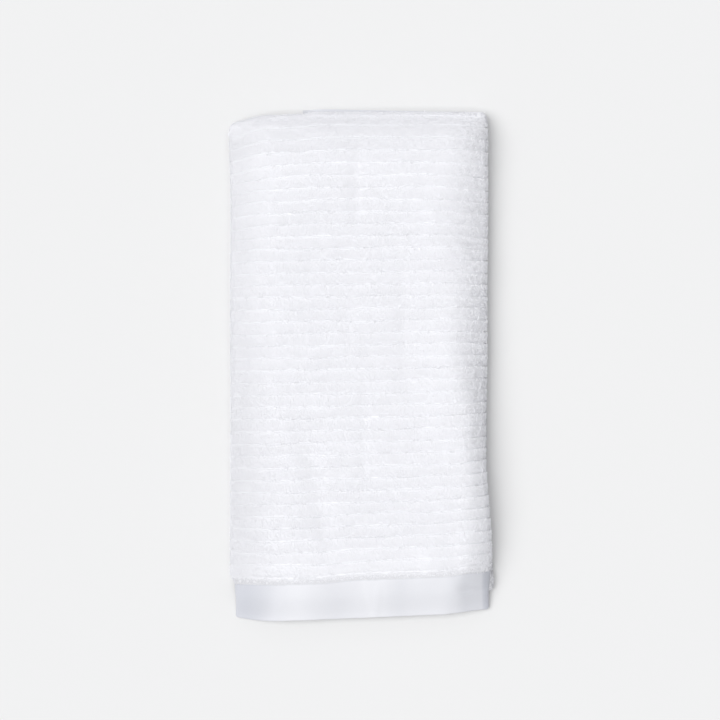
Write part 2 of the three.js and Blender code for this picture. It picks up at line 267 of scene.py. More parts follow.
def read_softly(at, places, values, reach=SOFT_REACH):
    """Values that are given at some places, read in between and bending softly at each."""
    steps = np.linspace(-reach, reach, SOFT_STEPS)
    return sum(np.interp(at + step, places, values) for step in steps) / len(steps)


def creased(x, y):
    """How far the listed troughs and ridges lift the cloth."""
    lift = np.zeros_like(x)
    for crease_x, crease_y, half_length, half_width, degrees, height in CREASES:
        turn = np.radians(degrees)
        out_x, out_y = x - crease_x, y - crease_y
        lengthwise = (out_y * np.cos(turn) - out_x * np.sin(turn)) / half_length
        sideways = (out_x * np.cos(turn) + out_y * np.sin(turn)) / half_width
        lift += height * np.exp(-(lengthwise**4) - sideways**2)
    return lift


def settled(x, y, z, v):
    """Moves points of the evenly folded cloth to where they settle, in the part's own frame."""
    of_top = 1 - rise(far_fold_v, middle_v, v)
    to_far_fold = np.clip(1 - v / far_fold_v, 0, 1)

    top_right = read_softly(y, settled_y, top_right_out)
    lower_right = read_softly(y, settled_y, lower_right_out)
    right_out = lower_right + (top_right - lower_right) * of_top
    top_left = of_top * read_softly(y, settled_y, top_left_out)
    left_out = top_left - BORDER_LEFT_IN * rise(*BORDER_LEFT_V, v)
    x = x + right_out * np.clip(x / RIGHT_FOLD_X, 0, 1) - left_out * np.clip(x / LEFT_FOLD_X, 0, 1)

    askew = NEAR_FOLD_TILT * (RIGHT_FOLD_X - x) * rise(*NEAR_FOLD_TILT_Y, y)
    far_corner = even_rise(*FAR_CORNER_X, x) ** 2
    far_left = within(FAR_LEFT_X, x)
    near_right = even_rise(*NEAR_RIGHT_X, x, CORNER_MOST) * rise(*NEAR_RIGHT_V, v)
    near_left = even_rise(*NEAR_LEFT_X, x, CORNER_MOST) * rise(*NEAR_LEFT_V, v)
    y = y + TOP_TILT * x * to_far_fold + (1 - of_top) * askew
    y = y - (FAR_CORNER_IN * far_corner + FAR_LEFT_IN * far_left) * rise(*FAR_IN_Y, y)
    y = y - NEAR_RIGHT_OUT * near_right + NEAR_LEFT_IN * near_left**2
    y = y + FAR_BULGE * rise(*FAR_BULGE_Y, y) - BOTTOM_END_IN * rise(*BOTTOM_END_V, v)
    y = y - NEAR_END_OUT * rise(*NEAR_END_OUT_V, v)
    z = z - NEAR_RIGHT_DROP * near_right**2 - NEAR_LEFT_DROP * near_left
    z = z - NEAR_END_DROP * rise(*NEAR_END_DROP_V, v) - RIM_DROP * rise(*RIM_DROP_V, v)
    drawn_in = rise(*RIGHT_SIDE_X, x) * rise(*RIGHT_SIDE_Y, y) * of_top
    y = y - RIGHT_SIDE_IN * y * drawn_in

    shorter = read_softly(y, settled_y, slope_shorter)
    late = read_softly(y, settled_y, slope_late)
    early = read_softly(y, settled_y, slope_early) * rise(-LEVEL_X, LEFT_FOLD_X, x)
    right_slope = np.maximum(RIGHT_EDGE_X - (RIGHT_EDGE_X - x) * shorter - late, LEVEL_X)
    on_slope = np.where(x > LEVEL_X, right_slope, x - early)
    kept_across = 1 - read_softly(on_slope, pressed_x, pressed_across, PRESSED_REACH)
    kept_along = 1 - read_softly(y, settled_y, pressed_along)
    x, y = x - MIDDLE_X, y - MIDDLE_Y
    return x, y, z * kept_across * kept_along + creased(x, y) * of_top


def cloth_points(u, v, offset):
    """Points of the folded cloth, offset from its middle towards the face that shows."""
    from_end = np.minimum(v, CLOTH_LENGTH - v)
    drawn_apart = rise(*PLIES_CLOSE, from_end)
    pitch = BORDER_PLY_PITCH + (PLY_PITCH - BORDER_PLY_PITCH) * drawn_apart
    closeness = pitch / PLY_PITCH

    panel_x, panel_z, panel_heading = place_on(across_path, u)
    level = np.clip(panel_x, LEFT_FOLD_X, RIGHT_FOLD_X)
    x = level + (panel_x - level) * closeness - offset * np.sin(panel_heading)
    height = panel_z * closeness + offset * np.cos(panel_heading)

    slid = FLAP_SLIDE * rise(right_flap_u - fold_run, right_flap_u, u)
    slid = slid + FLAP_TURN * np.clip(u - right_flap_u, 0, None)
    slid = slid * (1 - rise(BORDER_LENGTH, DROOP_LENGTH, from_end))
    layer_y, layer_z, layer_heading = place_on(along_path, v + slid)
    y = layer_y - height * np.sin(layer_heading)
    z = layer_z + height * np.cos(layer_heading)
    z = z - (v > CLOTH_LENGTH / 2) * (TERRY_LAYER / 2 - pitch - half_thickness(v))
    return np.stack(settled(x, y, z, v), axis=-1)


# --- The cloth: its ribs ---
# The pile is woven in ribs that run across the cloth, with a narrow groove between two. On a
# fold the face lies further out than the middle of the cloth, so places are measured on the face.
RIB_PITCH = 0.01235
FIRST_GROOVE = 0.0455
# A rib's depth, the shares of it that rise and fall, its height where it starts and its climb
RIB_DEPTH, RIB_RISE, RIB_FALL = 0.0011, 0.15, 0.12
RIB_START_HEIGHT, RIB_SLOPE = 0.75, 0.3
TERRY_START = 0.0385
TERRY_EDGE = (TERRY_START - 0.0005, TERRY_START + 0.0015)
PILE_HEIGHT = 0.0007
# The run over which the hem is rounded, and the share of its thickness left at its very edge
HEM_ROUND, HEM_EDGE = 0.0013, 0.2
# Grooves are deeper down the right side. They are shallower towards the far fold, where the ribs
# were smoothed by hand. It nears in two steps, each a share and a span.
SIDE_DEEPER, SIDE_DEEPER_RUN = 1.6, 0.018
FAR_END_SHALLOWER = 0.3
FAR_END_STEPS = [(0.3, 0.40, 0.46), (0.7, 0.475, 0.500)]
# Close to the near end the ribs were pushed along a little, on the right half
PUSHED = 0.0020
PUSHED_ACROSS, PUSHED_ALONG = ((0.085, 0.125), (0.248, 0.225)), ((0.008, 0.036), (0.130, 0.070))
# Unevenness: its size, how wide its bumps are across, how much closer they are along, its draw
RIB_WANDER = {"size": 0.0006, "reach": 0.035, "closer": 3, "seed": 11}
GROOVE_UNEVENNESS = {"size": 0.15, "reach": 0.018, "closer": 1, "seed": 12}
BORDER_PUCKER = {"size": 0.00012, "reach": 0.011, "closer": 0.4, "seed": 13}
WANDER_FROM_END = (0.036, 0.060)
WAVE_COUNT = 9
LEAST_WAVE, MOST_WAVE = (0, 0.7, 0), (np.pi, 1.8, 2 * np.pi)
FOLD_FACE = PLY_PITCH + TERRY_THICKNESS / 2
LAYER_FOLD_FACE = LAYER_PITCH / 2 + FOLD_FACE

u_marks = np.array([0, left_fold_u, panel_u, right_fold_u, right_flap_u, CLOTH_WIDTH])
folds = [1, 3]
u_runs = np.diff(u_marks)
u_runs[folds] = np.pi * FOLD_FACE
face_u_marks = np.append(0, np.cumsum(u_runs))
v_marks = np.array([0, far_fold_v, middle_v, near_fold_v, bottom_v, CLOTH_LENGTH])
v_runs = np.diff(v_marks)
v_runs[folds] = np.pi * LAYER_FOLD_FACE
face_v_marks = np.append(0, np.cumsum(v_runs))
face_width, face_length = face_u_marks[-1], face_v_marks[-1]
left_fold_start, left_top, right_top, right_fold_stop = face_u_marks[1:-1]
far_fold_start, far_fold_stop, near_fold_start, near_fold_stop = face_v_marks[1:-1]


def waves(across, along, size, reach, closer, seed):
    """Smooth unevenness of about that size, whose bumps are about reach across."""
    drawn = np.random.default_rng(seed).uniform(LEAST_WAVE, MOST_WAVE, (WAVE_COUNT, 3))
    along = along * closer
    total = 0
    for turn, share, phase in drawn:
        stretch = 2 * np.pi / (2 * reach * share)
        total = total + np.sin((across * np.cos(turn) + along * np.sin(turn)) * stretch + phase)
    return size * total / np.sqrt(WAVE_COUNT)


def of_terry(face_v):
    """1 on the terry and 0 on the borders, with a short rounded rise between the two."""
    from_end = np.minimum(face_v, face_length - face_v)
    return rise(*TERRY_EDGE, from_end)


def rib_height(face_v):
    """The rib's outline from one groove to the next: 0 in the groove and 1 on its crest."""
    place = ((face_v - FIRST_GROOVE) / RIB_PITCH) % 1
    flanks = rise(0, RIB_RISE, place) * rise(0, RIB_FALL, 1 - place)
    return flanks * (RIB_START_HEIGHT + RIB_SLOPE * place)


def of_far_end(face_v):
    """Goes from 0 to 1 as the top layer nears its far fold, and is 0 on the layers below."""
    nearing = sum(share * rise(start, stop, face_v) for share, start, stop in FAR_END_STEPS)
    return nearing * (face_v < far_fold_stop)


def face_points(face_u, face_v, side=1):
    """Points on the face of the folded cloth, or on its back where side is -1."""
    from_end = np.minimum(face_v, face_length - face_v)
    wander = waves(face_u, face_v, **RIB_WANDER) * rise(*WANDER_FROM_END, from_end)
    pushed = within(PUSHED_ACROSS, face_u - left_top) * within(PUSHED_ALONG, face_v)
    wander = wander + PUSHED * pushed
    u = np.interp(face_u, face_u_marks, u_marks)
    v = np.interp(face_v + wander, face_v_marks, v_marks)
    if side < 0:
        return cloth_points(u, v, -half_thickness(v))
    rounded = np.sqrt(np.clip(1 - (1 - from_end / HEM_ROUND) ** 2, HEM_EDGE**2, 1))
    rounded = np.where(from_end < HEM_ROUND, rounded, 1)
    deeper = 1 + SIDE_DEEPER * rise(right_top - SIDE_DEEPER_RUN, right_top, face_u)
    deeper = deeper + waves(face_u, face_v, **GROOVE_UNEVENNESS)
    groove = RIB_DEPTH * deeper * (1 - rib_height(face_v))
    groove = groove * (1 - FAR_END_SHALLOWER * of_far_end(face_v))
    ground = (TERRY_THICKNESS - BORDER_THICKNESS) / 2 - PILE_HEIGHT - groove
    puckers = waves(face_u, face_v, **BORDER_PUCKER) * (1 - of_terry(face_v))
    return cloth_points(u, v, rounded * BORDER_THICKNESS / 2 + puckers + ground * of_terry(face_v))


# --- The cloth: its painted light and shade ---
# The cotton is the same white all over, but light and shade are painted into its tone: painted
# shade on the left flank, down the right side and at the border's right end, and painted light on
# the top layer's side, the far fold's front and the bottom end. A tone on each point says how
# light it is. Places across are measured from the left or right edge of the top.
TONE = 0.64
# The other tones are how much greyer painted shade makes a place; below 0 they are painted light.
# The left flank's painted shade grows by its own in the near part, in the far part and on the
# border, and in the near part the flank starts further in.
NEAR_PART, FAR_PART = (0.40, 0.10), (0.44, 0.48)
FLANK_PAINTED_SHADE, FLANK_NEAR, FLANK_FAR, FLANK_BAND = 0.40, 0.14, -0.02, 0.04
FLANK_START, FLANK_WIDER, FLANK_WHOLE, FLANK_EDGE = 0.045, 0.011, 0.004, (-0.012, -0.001)
# Painted shade in steps at the border's right end, each a tone and a span
BAND_RIGHT_PAINTED_SHADE = [(0.25, -0.031, -0.019), (0.45, -0.0045, -0.001)]
# Painted light and shade of the border's wrinkles, which are not in the mesh
BAND_WRINKLE_PAINTED_SHADING = [
    # place across from the left edge, half width, how much greyer (below 0 lighter), lean
    (0.062, 0.016, -0.07, 0),
    (0.104, 0.012, 0.07, 0),
    (0.135, 0.012, -0.05, 0),
    (0.135, 0.004, -0.05, -0.21),
    (0.149, 0.004, -0.05, 0),
    (0.168, 0.009, 0.08, 0),
    (0.220, 0.010, 0.09, 0),
]
# Past the right edge the top layer's side gets painted light, and the layers below painted shade
SIDE_EDGE, TOP_SIDE_PAINTED_LIGHT, LOWER_SIDE_PAINTED_SHADE = (0.004, 0.008), -0.3, 0.7
# A stretch of the rim along that edge gets painted shade
RIM_PAINTED_SHADE = 0.12
RIM_ACROSS, RIM_ALONG = ((-0.012, -0.005), (0.001, -0.002)), ((0.100, 0.130), (0.29, 0.25))
# At the far end the last ribs get painted shade, and the fold's front and the bottom end painted
# light
FAR_RIBS_PAINTED_SHADE, FAR_RIBS_ALONG = 0.15, ((0.465, 0.488), (0.522, 0.508))
FAR_FRONT_PAINTED_LIGHT, FAR_FRONT_ALONG = -0.34, (0.498, 0.515)
BOTTOM_END_PAINTED_LIGHT, BOTTOM_END_ALONG = -0.48, (face_length - 0.050, face_length - 0.040)


def painted_shade_and_light(face_u, face_v):
    """How much greyer the painted shade makes the cotton at places on the face; below 0 it is
    painted light.
    """
    from_left, from_right = face_u - left_top, face_u - right_top
    near, far = rise(*NEAR_PART, face_v), rise(*FAR_PART, face_v)
    of_band = face_v < TERRY_START

    # Painted shade on the left flank
    flank = rise(FLANK_START + FLANK_WIDER * near, FLANK_WHOLE, from_left)
    flank = flank * np.maximum(rise(*FLANK_EDGE, from_left), of_band)
    flank = flank * (FLANK_PAINTED_SHADE + FLANK_NEAR * near + FLANK_FAR * far + FLANK_BAND * of_band)

    # Painted shade at the border's right end, and the painted light and shade of its wrinkles
    band = sum(tone * rise(start, stop, from_right) for tone, start, stop in BAND_RIGHT_PAINTED_SHADE)
    for place, half_width, tone, lean in BAND_WRINKLE_PAINTED_SHADING:
        aside = from_left - place - lean * (face_v - TERRY_START / 2)
        band = band + tone * np.exp(-((aside / half_width) ** 2))

    # Painted light on the top layer's side, painted shade on the layers below and along the rim
    side = np.where(face_v < far_fold_start, TOP_SIDE_PAINTED_LIGHT, LOWER_SIDE_PAINTED_SHADE)
    side = side * rise(*SIDE_EDGE, from_right)
    side = side + RIM_PAINTED_SHADE * within(RIM_ACROSS, from_right) * within(RIM_ALONG, face_v)

    # Painted light on the far fold's front and the bottom end, painted shade on the last ribs
    far_end = FAR_FRONT_PAINTED_LIGHT * rise(*FAR_FRONT_ALONG, face_v) * (face_v < far_fold_stop)
    far_end = far_end + FAR_RIBS_PAINTED_SHADE * within(FAR_RIBS_ALONG, face_v)
    far_end = far_end + BOTTOM_END_PAINTED_LIGHT * rise(*BOTTOM_END_ALONG, face_v)
    return flank + band * of_band + side * (1 - of_band) + far_end


# --- The cloth: its mesh ---
# One closed surface: the ribbed face, cut finely where it shows and coarsely inside the folds,
# and a plain back, joined round the ends and the selvedges.
PANEL_STEP, FLAP_STEP, FOLD_STEP = 0.025, 0.024, 0.0017
PANEL_CUTS, FLAP_CUTS = 10, 6
# From either end, in millimetres: closest at the hem and where the terry starts
HEM_CUTS, BAND_CUTS = (0, 0.2, 0.5, 1, 2, 3.5), range(5, 36, 2)
TERRY_CUTS = (36, 37, 37.6, 38, 38.4, 38.8, 39.2, 39.6, 40)
END_CUTS = np.array([*HEM_CUTS, *BAND_CUTS, *TERRY_CUTS]) / 1000
END_GAP = 0.0008
FINE_CUTS = (0, 0.05, 0.10, 0.18, 0.36, 0.60, 0.80, 0.88, 0.95)
LOW_CUTS = (0, 0.10, 0.35, 0.65, 0.90)
BACK_CUTS, BACK_FOLD_CUTS = (0,), (0, 0.30, 0.64)
FOLD_MARGIN = 0.006
# Places are matched to this many decimals of a metre
DECIMALS = 6
# Painted shade in the grooves, and a painted shadow line where the terry starts
GROOVE_PAINTED_SHADE, EDGE_PAINTED_SHADOW, EDGE_WIDTH = 0.08, 0.4, 0.0008


def columns(flap_cuts, panel_cuts):
    """Places across the face. Each step of the flaps and of the middle panel is cut in so many."""
    places = []
    steps = [FLAP_STEP, FOLD_STEP, PANEL_STEP, FOLD_STEP, FLAP_STEP]
    cuts = [flap_cuts, 1, panel_cuts, 1, flap_cuts]
    for start, run, step, cut in zip(face_u_marks, np.diff(face_u_marks), steps, cuts):
        count = int(np.ceil(run / step)) * cut
        places.append(start + run * np.arange(count) / count)
    return np.append(np.concatenate(places), face_u_marks[-1])


def cut_ribs(start, stop, cuts):
    """Places along the face from start to stop, with each rib cut at the same shares of it."""
    first_rib, last_rib = (np.array([start, stop]) - FIRST_GROOVE) / RIB_PITCH
    ribs = np.arange(np.floor(first_rib), last_rib)
    places = (FIRST_GROOVE + RIB_PITCH * np.add.outer(ribs, cuts)).ravel()
    return [place for place in places if start < place < stop]


def grid(spans, side):
    """Rows of points on one side of the cloth, as an edge {place across: point} for each row."""
    rows = [(place, across) for places, across in spans for place in places]
    face_u = np.concatenate([across for _, across in rows])
    face_v = np.repeat([place for place, _ in rows], [len(across) for _, across in rows])
    first = sum(len(made) for made in cloth_places)
    cloth_places.append(np.stack([face_u, face_v], axis=-1))
    cloth_at.append(face_points(face_u, face_v, side))
    edges = {}
    for place, across in rows:
        points = range(first, first + len(across))
        edges[round(place, DECIMALS)] = dict(zip(np.round(across, DECIMALS), points))
        first += len(across)
    return edges


def runs_of(edge, shared):
    """The points of an edge, cut into runs at the places that it shares with another edge."""
    runs, run = [], []
    for place in sorted(edge):
        run.append(edge[place])
        if place in shared:
            if len(run) > 1:
                runs.append(run)
            run = [edge[place]]
    return runs


def strip(near, far, turned=False):
    """Faces between two edges. A point that only one edge has joins the face beside it."""
    shared = near.keys() & far.keys()
    faces = [a + b[::-1] for a, b in zip(runs_of(near, shared), runs_of(far, shared))]
    return [face[::-1] for face in faces] if turned else faces


all_coarse = columns(1, 1)
fine_panel, fine_flaps = columns(1, PANEL_CUTS), columns(FLAP_CUTS, 1)
far_end = face_length - END_CUTS[::-1]
top_start, top_stop = END_CUTS[-1] + END_GAP, far_fold_start - FOLD_MARGIN
middle_start, middle_stop = far_fold_stop + FOLD_MARGIN, near_fold_start - FOLD_MARGIN
bottom_start, bottom_stop = near_fold_stop + FOLD_MARGIN, far_end[0] - END_GAP

cloth_places, cloth_at = [], []
face_edges = grid(
    [
        (END_CUTS, fine_panel),
        (cut_ribs(top_start, middle_start, FINE_CUTS), fine_panel),
        (cut_ribs(middle_start, middle_stop, LOW_CUTS), all_coarse),
        (cut_ribs(middle_stop, bottom_start, FINE_CUTS), fine_flaps),
        (cut_ribs(bottom_start, bottom_stop, LOW_CUTS), all_coarse),
        (far_end, all_coarse),
    ],
    side=1,
)
back_edges = grid(
    [
        (END_CUTS, all_coarse),
        (cut_ribs(top_start, top_stop, BACK_CUTS), all_coarse),
        (cut_ribs(top_stop, middle_start, BACK_FOLD_CUTS), all_coarse),
        (cut_ribs(middle_start, middle_stop, BACK_CUTS), all_coarse),
        (cut_ribs(middle_stop, bottom_start, BACK_FOLD_CUTS), all_coarse),
        (cut_ribs(bottom_start, bottom_stop, BACK_CUTS), all_coarse),
        (far_end, all_coarse),
    ],
    side=-1,
)
cloth_places, cloth_at = np.concatenate(cloth_places), np.concatenate(cloth_at)

cloth_faces = []
for edges, turned in ((face_edges, False), (back_edges, True)):
    rows = [edges[place] for place in sorted(edges)]
    for near, far in zip(rows, rows[1:]):
        cloth_faces += strip(near, far, turned)
for place, turned in ((0.0, False), (round(face_width, DECIMALS), True)):
    selvedges = [{v: row[place] for v, row in edges.items()} for edges in (face_edges, back_edges)]
    cloth_faces += strip(*selvedges, turned)
for place, turned in ((0.0, True), (round(face_length, DECIMALS), False)):
    cloth_faces += strip(face_edges[place], back_edges[place], turned)

cloth_mesh = bpy.data.meshes.new("towel")
cloth_mesh.from_pydata(cloth_at.tolist(), [], cloth_faces)
cloth_mesh.shade_smooth()
corners = np.empty(len(cloth_mesh.loops), np.int32)
cloth_mesh.loops.foreach_get("vertex_index", corners)
# The cloth's tone takes painted shade in the grooves, a painted shadow line where the terry
# starts, and the painted light and shade above
groove = (1 - rib_height(cloth_places[:, 1])) * of_terry(cloth_places[:, 1])
terry_edge = np.exp(-(((cloth_places[:, 1] - TERRY_START) / EDGE_WIDTH) ** 2))
tones = TONE - GROOVE_PAINTED_SHADE * groove - EDGE_PAINTED_SHADOW * terry_edge - painted_shade_and_light(*cloth_places.T)
tone = cloth_mesh.attributes.new("tone", "FLOAT", "POINT")
tone.data.foreach_set("value", tones.astype(np.float32))
cloth_uv = cloth_mesh.uv_layers.new(name="cloth")
cloth_uv.data.foreach_set("uv", cloth_places[corners].astype(np.float32).ravel())
towel = bpy.data.objects.new("towel", cloth_mesh)
bpy.context.scene.collection.objects.link(towel)
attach(towel, "root")
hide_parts("towel_cloth")

# --- The cloth: its cotton ---
# White, faintly bluish cotton. The pile takes no gloss. The border is a close, smooth weave with
# a little sheen, and its yarns show as fine ribs both ways.
YARN_PITCH = 0.0009
# It is mottled finely by its yarns, and a little by broader patches
YARN_DETAIL, PATCH_SCALE, PATCH_SHARE, NOISE_MIDDLE = 3, 38, 0.25, 0.5
# Where the border's weave ends, from either end of the cloth
BORDER_EDGE = TERRY_START - 0.0007
# How far apart a wave texture's stripes are at a scale of 1
WAVE_PERIOD = np.pi / 10


def cotton_group():
    """A node group: the colour of cotton at a tone, mottled by its yarns, and their height."""
    group = bpy.data.node_groups.new("cotton", "ShaderNodeTree")
    for name, kind, output in (
        ("Tone", "NodeSocketFloat", False),
        ("Dark", "NodeSocketColor", False),
        ("Light", "NodeSocketColor", False),
        ("Yarn Scale", "NodeSocketFloat", False),
        ("Unevenness", "NodeSocketFloat", False),
        ("Color", "NodeSocketColor", True),
        ("Height", "NodeSocketFloat", True),
    ):
        in_out = "OUTPUT" if output else "INPUT"
        group.interface.new_socket(name, in_out=in_out, socket_type=kind)
    nodes, link = group.nodes, group.links.new
    given, put_out = nodes.new("NodeGroupInput"), nodes.new("NodeGroupOutput")
    places = nodes.new("ShaderNodeTexCoord")
    yarns = nodes.new("ShaderNodeTexNoise")
    yarns.inputs["Detail"].default_value = YARN_DETAIL
    link(places.outputs["Object"], yarns.inputs["Vector"])
    link(given.outputs["Yarn Scale"], yarns.inputs["Scale"])
    patches = nodes.new("ShaderNodeTexNoise")
    patches.inputs["Scale"].default_value = PATCH_SCALE
    link(places.outputs["Object"], patches.inputs["Vector"])
    both = nodes.new("ShaderNodeMix")
    both.inputs["Factor"].default_value = PATCH_SHARE
    link(yarns.outputs["Fac"], both.inputs["A"])
    link(patches.outputs["Fac"], both.inputs["B"])
    centred = nodes.new("ShaderNodeMath")
    centred.operation = "SUBTRACT"
    centred.inputs[1].default_value = NOISE_MIDDLE
    link(both.outputs["Result"], centred.inputs[0])
    mottled = nodes.new("ShaderNodeMath")
    mottled.operation = "MULTIPLY_ADD"
    link(centred.outputs["Value"], mottled.inputs[0])
    link(given.outputs["Unevenness"], mottled.inputs[1])
    link(given.outputs["Tone"], mottled.inputs[2])
    colour = nodes.new("ShaderNodeMix")
    colour.data_type = "RGBA"
    colour.clamp_factor = False
    link(mottled.outputs["Value"], colour.inputs["Factor"])
    link(given.outputs["Dark"], colour.inputs["A"])
    link(given.outputs["Light"], colour.inputs["B"])
    link(colour.outputs["Result"], put_out.inputs["Color"])
    link(yarns.outputs["Fac"], put_out.inputs["Height"])
    return group


cotton = cotton_group()


def cotton_material(name, dark, light, yarn_scale, unevenness, roughness):
    """A material of cotton, with the nodes that hold its colour, its bumps and its shader."""
    material = bpy.data.materials.new(name)
    material.use_nodes = True
    nodes, link = material.node_tree.nodes, material.node_tree.links.new
    tone_read = nodes.new("ShaderNodeAttribute")
    tone_read.attribute_name = "tone"
    made_of = nodes.new("ShaderNodeGroup")
    made_of.node_tree = cotton
    made_of.inputs["Dark"].default_value = dark
    made_of.inputs["Light"].default_value = light
    made_of.inputs["Yarn Scale"].default_value = yarn_scale
    made_of.inputs["Unevenness"].default_value = unevenness
    shader = nodes["Principled BSDF"]
    shader.inputs["Roughness"].default_value = roughness
    bump = nodes.new("ShaderNodeBump")
    link(tone_read.outputs["Fac"], made_of.inputs["Tone"])
    link(made_of.outputs["Color"], shader.inputs["Base Color"])
    link(bump.outputs["Normal"], shader.inputs["Normal"])
    return material, made_of, bump, shader


terry, made_of, bump, _ = cotton_material(
    "terry",
    dark=(0.745, 0.746, 0.773, 1),
    light=(0.962, 0.963, 0.993, 1),
    yarn_scale=1400,
    unevenness=0.16,
    roughness=0.95,
)
bump.inputs["Strength"].default_value = 0.3
bump.inputs["Distance"].default_value = 0.0001
terry.node_tree.links.new(made_of.outputs["Height"], bump.inputs["Height"])

border, made_of, bump, shader = cotton_material(
    "border",
    dark=(0.585, 0.598, 0.650, 1),
    light=(0.952, 0.953, 0.982, 1),
    yarn_scale=700,
    unevenness=0.12,
    roughness=0.5,
)
shader.inputs["Specular IOR Level"].default_value = 0.6
bump.inputs["Strength"].default_value = 0.5
bump.inputs["Distance"].default_value = 0.00006
nodes, link = border.node_tree.nodes, border.node_tree.links.new
uv_read = nodes.new("ShaderNodeUVMap")
uv_read.uv_map = "cloth"
weave = nodes.new("ShaderNodeMath")
weave.operation = "MULTIPLY"
for direction, socket in zip("XY", weave.inputs):
    yarn_rows = nodes.new("ShaderNodeTexWave")
    yarn_rows.bands_direction = direction
    yarn_rows.inputs["Scale"].default_value = WAVE_PERIOD / YARN_PITCH
    link(uv_read.outputs["UV"], yarn_rows.inputs["Vector"])
    link(yarn_rows.outputs["Fac"], socket)
uneven_weave = nodes.new("ShaderNodeMath")
uneven_weave.operation = "ADD"
link(weave.outputs["Value"], uneven_weave.inputs[0])
link(made_of.outputs["Height"], uneven_weave.inputs[1])
link(uneven_weave.outputs["Value"], bump.inputs["Height"])

cloth_mesh.materials.append(terry)
cloth_mesh.materials.append(border)
starts = np.empty(len(cloth_mesh.polygons), np.int32)
cloth_mesh.polygons.foreach_get("loop_start", starts)
along = cloth_places[corners[starts], 1]
smooth_end = np.minimum(along, face_length - along) < BORDER_EDGE
cloth_mesh.polygons.foreach_set("material_index", smooth_end.astype(np.int32))

# --- The pile ---
# Loops of soft cotton yarn that stand on the ribs of the face, five rows to a rib. Each is
# woven into the cloth at both feet, and washing has turned and bent every one its own way.
LOOP_ROWS = (0.15, 0.32, 0.49, 0.66, 0.83)
LOOP_STEP = 0.0020
YARN_RADIUS = 0.00060
YARN_CORNERS = np.radians((30, 150, 270))
# Half of the loop's width, its height above the ground of the cloth and how deep its feet go
LOOP_WIDTH, LOOP_HEIGHT, LOOP_ROOT = 0.00100, 0.00115, 0.0004
# Its feet stand closer, at this share of its width, and its shoulders at this share of its height
LOOP_FOOT, LOOP_SHOULDER = 0.8, 0.55
# How much the loops vary: in place, size, flatness and lean
SCATTER_ACROSS, SCATTER_ALONG = 0.00040, 0.00035
LOOP_SIZES, LOOP_FLATNESS = (1.05, 1.4), (0.72, 0.92)
LEAN_ACROSS, LEAN_ALONG = 0.25, 0.2
# They lean away from the crest of the rib. At the far end they stand straighter.
CREST, LEAN_FROM_CREST, FAR_STRAIGHTER = 0.8, 0.7, 0.5
# They lie flatter at the left edge of the top, near the near end and at the far end
LEFT_FLATTER, LEFT_FLAT_START, LEFT_FLAT_WHOLE = 0.37, 0.050, 0.010
NEAR_FLATTER, NEAR_FLAT_ALONG, FAR_FLATTER = 0.25, (0.080, 0.050), 0.33
# How far from its foot the slope of the cloth under a loop is measured
SLOPE_STEP = 0.0004
# Row by row the loops get painted shade low on the rib and painted light towards the crest, and
# the first row of all gets painted shade
ROW_PAINTED_SHADING = (-0.05, -0.035, -0.01, 0.02, 0.14)
FIRST_ROW_PAINTED_SHADE, FIRST_ROW_ALONG = 0.42, (TERRY_START + 0.0095, TERRY_START + 0.003)
# The rows' painted light and shade is stronger the further they are from the left edge and the
# nearer to the right one, and weaker at the far end
LEFT_CONTRAST, RIGHT_CONTRAST, RIGHT_CONTRAST_MORE = (0, 0.040), (-0.040, 0), 0.5
FAR_CALMER = 0.6
# Down the right side the loops look uneven, but less so in a stretch near the near end
UNEVEN, SIDE_UNEVEN, SIDE_UNEVEN_ACROSS = 0.03, 0.46, (-0.040, -0.004)
NEAR_CALMER, NEAR_CALM_ALONG = 0.65, ((0.19, 0.14), (0.045, 0.065))
PILE_SEED = 5
draw = np.random.default_rng(PILE_SEED)


def loop_shape():
    """One loop of yarn: five points of its line, the middle three with three-sided sections."""
    line = [
        (-LOOP_WIDTH * LOOP_FOOT, 0, -LOOP_ROOT),
        (-LOOP_WIDTH, 0, LOOP_HEIGHT * LOOP_SHOULDER),
        (0, 0, LOOP_HEIGHT - YARN_RADIUS),
        (LOOP_WIDTH, 0, LOOP_HEIGHT * LOOP_SHOULDER),
        (LOOP_WIDTH * LOOP_FOOT, 0, -LOOP_ROOT),
    ]
    points = [line[0]]
    for (x, y, z), upright in zip(line[1:-1], (True, False, True)):
        for angle in YARN_CORNERS:
            out, aside = YARN_RADIUS * np.sin(angle), YARN_RADIUS * np.cos(angle)
            points.append((x + aside, y + out, z) if upright else (x, y + aside, z + out))
    points.append(line[-1])
    sides = len(YARN_CORNERS)
    first_ring, middle_ring, last_ring = 1, 1 + sides, 1 + 2 * sides
    faces = []
    for corner in range(sides):
        after = (corner + 1) % sides
        faces.append((0, first_ring + after, first_ring + corner))
        for ring in (first_ring, middle_ring):
            a, b = ring + corner, ring + after
            c, d = b + sides, a + sides
            faces += [(a, b, c), (a, c, d)]
        faces.append((last_ring + corner, last_ring + after, len(points) - 1))
    return np.array(points), np.array(faces)


def loop_tones(face_u, face_v, place):
    """How light each loop looks, painted light and shade included. Its place is a share of the way
    from one groove to the next.
    """
    from_left, from_right = face_u - left_top, face_u - right_top
    contrast = rise(*LEFT_CONTRAST, from_left)
    contrast = contrast + RIGHT_CONTRAST_MORE * rise(*RIGHT_CONTRAST, from_right)
    contrast = contrast * (1 - FAR_CALMER * of_far_end(face_v))
    # Painted light on the crest rows, painted shade on the lower rows and the first row
    rows = np.interp(place, LOOP_ROWS, ROW_PAINTED_SHADING) * contrast
    first_row = FIRST_ROW_PAINTED_SHADE * rise(*FIRST_ROW_ALONG, face_v)
    calmer = 1 - NEAR_CALMER * within(NEAR_CALM_ALONG, face_v)
    uneven = UNEVEN + SIDE_UNEVEN * calmer * rise(*SIDE_UNEVEN_ACROSS, from_right)
    tones = TONE + rows - first_row - painted_shade_and_light(face_u, face_v)
    return tones + uneven * draw.uniform(-1, 1, len(face_u))


